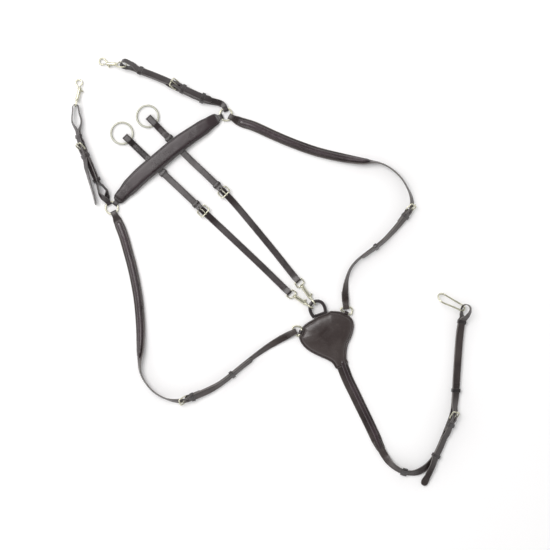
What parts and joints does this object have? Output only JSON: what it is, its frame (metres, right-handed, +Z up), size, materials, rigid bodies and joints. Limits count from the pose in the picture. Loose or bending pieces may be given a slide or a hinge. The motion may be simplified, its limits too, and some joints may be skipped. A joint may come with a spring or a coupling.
{
  "type": "hunting breastplate with martingale fork",
  "caption": "Padded leather hunting breastplate with neck rings, buckled chest, saddle and girth straps, and a clip-on running martingale fork, laid out flat.",
  "frame": {"origin": "centre of the laid-out breastplate's bounding box, on the table it lies on", "axes": "+X to the right and +Y away in the plan view of the layout, with the withers strap at the upper left and the girth clip at the right; +Z up from the table, out of the padded face of the straps"},
  "size_m": [0.8495, 0.9118, 0.028],
  "materials": {
    "leather": "dark brown harness leather, waxed, satin",
    "padded_leather": "soft dark brown leather over a padded core, satin",
    "lining_leather": "dark lining leather, matt",
    "brass": "polished pale brass"
  },
  "bodies": {
    "breastplate": {"chest_buckle_left": "brass", "chest_buckle_right": "brass", "chest_strap_left": "leather", "chest_strap_right": "leather", "girth_buckle": "brass", "girth_chape": "leather", "girth_strap": "leather", "neck_ring_left": "brass", "neck_ring_right": "brass", "plate_face": "padded_leather", "plate_lining": "lining_leather", "plate_loop": "leather", "plate_ring_left": "brass", "plate_ring_right": "brass", "shoulder_pad_left": "padded_leather", "shoulder_pad_right": "padded_leather", "shoulder_strap_left": "leather", "shoulder_strap_right": "leather", "tail_pad": "padded_leather", "tail_strap": "leather", "wither_pad": "padded_leather", "wither_strap": "leather"},
    "saddle_strap_left": {"saddle_strap_left": "leather", "saddle_buckle_left": "brass"},
    "saddle_snap_left": {"saddle_snap_left": "brass"},
    "saddle_bolt_left": {"saddle_snap_left_bolt": "brass"},
    "saddle_tongue_left": {"saddle_tongue_left": "brass"},
    "saddle_keeper_left": {"saddle_keeper_left": "leather"},
    "fork_left": {"fork_upper_strap_left": "leather", "fork_lower_strap_left": "leather", "fork_buckle_left": "brass", "fork_snap_left": "brass"},
    "fork_bolt_left": {"fork_snap_left_bolt": "brass"},
    "fork_tongue_left": {"fork_tongue_left": "brass"},
    "fork_keeper_left": {"fork_keeper_left": "leather"},
    "fork_ring_left": {"fork_ring_left": "brass"},
    "chest_tongue_left": {"chest_tongue_left": "brass"},
    "chest_keeper_left": {"chest_keeper_left": "leather"},
    "saddle_strap_right": {"saddle_strap_right": "leather", "saddle_buckle_right": "brass"},
    "saddle_snap_right": {"saddle_snap_right": "brass"},
    "saddle_bolt_right": {"saddle_snap_right_bolt": "brass"},
    "saddle_tongue_right": {"saddle_tongue_right": "brass"},
    "saddle_keeper_right": {"saddle_keeper_right": "leather"},
    "fork_right": {"fork_upper_strap_right": "leather", "fork_lower_strap_right": "leather", "fork_buckle_right": "brass", "fork_snap_right": "brass"},
    "fork_bolt_right": {"fork_snap_right_bolt": "brass"},
    "fork_tongue_right": {"fork_tongue_right": "brass"},
    "fork_keeper_right": {"fork_keeper_right": "leather"},
    "fork_ring_right": {"fork_ring_right": "brass"},
    "chest_tongue_right": {"chest_tongue_right": "brass"},
    "chest_keeper_right": {"chest_keeper_right": "leather"},
    "girth_tongue": {"girth_tongue": "brass"},
    "girth_tail_keeper": {"girth_tail_keeper": "leather"},
    "girth_tip_keeper": {"girth_tip_keeper": "leather"},
    "girth_clip": {"girth_clip": "brass"},
    "girth_gate": {"girth_clip_gate": "brass"}
  },
  "joints": [
    {"name": "saddle_left_lift", "type": "hinge", "parent": "breastplate", "child": "saddle_strap_left", "pos_m": [-0.34666, 0.14697, 0.0042], "axis": [0.8398, 0.5429, 0], "range_deg": [0, 15]},
    {"name": "saddle_snap_left_swing", "type": "hinge", "parent": "saddle_strap_left", "child": "saddle_snap_left", "pos_m": [-0.41652, 0.35209, 0.01123], "axis": [-0.2413, -0.0167, -0.9703], "range_deg": [-20, 20]},
    {"name": "saddle_bolt_left_slide", "type": "slide", "parent": "saddle_snap_left", "child": "saddle_bolt_left", "axis": [0.2446, 0.963, -0.1129], "range_m": [-0.006, 0], "stiffness_N_per_m": 200},
    {"name": "saddle_tongue_left_hinge", "type": "hinge", "parent": "saddle_strap_left", "child": "saddle_tongue_left", "pos_m": [-0.39951, 0.25785, 0.01464], "axis": [0.5169, 0.2109, 0.8297], "range_deg": [0, 12]},
    {"name": "saddle_keeper_left_slide", "type": "slide", "parent": "saddle_strap_left", "child": "saddle_keeper_left", "axis": [-0.4087, 0.9127, 0], "range_m": [-0.002, 0.002]},
    {"name": "fork_left_swing", "type": "hinge", "parent": "breastplate", "child": "fork_left", "pos_m": [0.0819, -0.0737, 0.0089], "axis": [0, 0, 1], "range_deg": [-0.6, 2.5]},
    {"name": "fork_bolt_left_slide", "type": "slide", "parent": "fork_left", "child": "fork_bolt_left", "axis": [0.8344, -0.551, -0.0112], "range_m": [-0.006, 0], "stiffness_N_per_m": 200},
    {"name": "fork_tongue_left_hinge", "type": "hinge", "parent": "fork_left", "child": "fork_tongue_left", "pos_m": [-0.15098, 0.13508, 0.00417], "axis": [-0.6875, -0.7262, 0], "range_deg": [0, 12]},
    {"name": "fork_keeper_left_slide", "type": "slide", "parent": "fork_left", "child": "fork_keeper_left", "axis": [0.7233, -0.6905, 0], "range_m": [-0.002, 0.002]},
    {"name": "fork_ring_left_flip", "type": "hinge", "parent": "fork_left", "child": "fork_ring_left", "pos_m": [-0.30171, 0.27882, 0.005], "axis": [0.6997, 0.7144, 0], "range_deg": [0, 50]},
    {"name": "chest_tongue_left_hinge", "type": "hinge", "parent": "breastplate", "child": "chest_tongue_left", "pos_m": [-0.18019, -0.26852, 0.01289], "axis": [-0.1567, 0.5599, 0.8136], "range_deg": [0, 12]},
    {"name": "chest_keeper_left_slide", "type": "slide", "parent": "breastplate", "child": "chest_keeper_left", "axis": [0.7796, 0.6262, 0], "range_m": [-0.002, 0.002]},
    {"name": "saddle_right_lift", "type": "hinge", "parent": "breastplate", "child": "saddle_strap_right", "pos_m": [-0.09894, 0.34783, 0.0042], "axis": [0.9363, 0.3511, 0], "range_deg": [0, 8]},
    {"name": "saddle_snap_right_swing", "type": "hinge", "parent": "saddle_strap_right", "child": "saddle_snap_right", "pos_m": [-0.30725, 0.43963, 0.01562], "axis": [-0.202, -0.6379, 0.7431], "range_deg": [-20, 20]},
    {"name": "saddle_bolt_right_slide", "type": "slide", "parent": "saddle_snap_right", "child": "saddle_bolt_right", "axis": [-0.9813, 0.0461, -0.1868], "range_m": [-0.006, 0], "stiffness_N_per_m": 200},
    {"name": "saddle_tongue_right_hinge", "type": "hinge", "parent": "saddle_strap_right", "child": "saddle_tongue_right", "pos_m": [-0.19921, 0.39333, 0.01292], "axis": [0.3678, 0.743, -0.5592], "range_deg": [0, 12]},
    {"name": "saddle_keeper_right_slide", "type": "slide", "parent": "saddle_strap_right", "child": "saddle_keeper_right", "axis": [-0.941, 0.3384, 0], "range_m": [-0.002, 0.002]},
    {"name": "fork_right_swing", "type": "hinge", "parent": "breastplate", "child": "fork_right", "pos_m": [0.08935, -0.06411, 0.0089], "axis": [0, 0, 1], "range_deg": [-2.5, 0.6]},
    {"name": "fork_bolt_right_slide", "type": "slide", "parent": "fork_right", "child": "fork_bolt_right", "axis": [0.5908, -0.8067, -0.0107], "range_m": [-0.006, 0], "stiffness_N_per_m": 200},
    {"name": "fork_tongue_right_hinge", "type": "hinge", "parent": "fork_right", "child": "fork_tongue_right", "pos_m": [-0.10712, 0.17546, 0.00418], "axis": [-0.7065, -0.7077, 0], "range_deg": [0, 12]},
    {"name": "fork_keeper_right_slide", "type": "slide", "parent": "fork_right", "child": "fork_keeper_right", "axis": [0.7045, -0.7097, 0], "range_m": [-0.002, 0.002]},
    {"name": "fork_ring_right_flip", "type": "hinge", "parent": "fork_right", "child": "fork_ring_right", "pos_m": [-0.24761, 0.31439, 0.005], "axis": [0.7178, 0.6963, 0], "range_deg": [0, 50]},
    {"name": "chest_tongue_right_hinge", "type": "hinge", "parent": "breastplate", "child": "chest_tongue_right", "pos_m": [0.29014, 0.12966, 0.01291], "axis": [0.4897, -0.2723, -0.8283], "range_deg": [0, 12]},
    {"name": "chest_keeper_right_slide", "type": "slide", "parent": "breastplate", "child": "chest_keeper_right", "axis": [-0.7941, -0.6077, 0], "range_m": [-0.002, 0.002]},
    {"name": "girth_tongue_hinge", "type": "hinge", "parent": "breastplate", "child": "girth_tongue", "pos_m": [0.38417, -0.31217, 0.0152], "axis": [0.6628, -0.2138, -0.7177], "range_deg": [0, 12]},
    {"name": "girth_tail_keeper_slide", "type": "slide", "parent": "breastplate", "child": "girth_tail_keeper", "axis": [0.9585, -0.2851, 0], "range_m": [-0.002, 0.002]},
    {"name": "girth_tip_keeper_slide", "type": "slide", "parent": "breastplate", "child": "girth_tip_keeper", "axis": [0.491, 0.8711, 0], "range_m": [-0.001, 0.002]},
    {"name": "girth_clip_swing", "type": "hinge", "parent": "breastplate", "child": "girth_clip", "pos_m": [0.40986, -0.07924, 0.0094], "axis": [-0.2336, -0.572, 0.7863], "range_deg": [-10, 10]},
    {"name": "girth_gate_hinge", "type": "hinge", "parent": "girth_clip", "child": "girth_gate", "pos_m": [0.40368, -0.06939, 0.0024], "axis": [0.394, 0.6836, 0.6143], "range_deg": [0, 25], "stiffness_Nm_per_rad": 0.02}
  ]
}
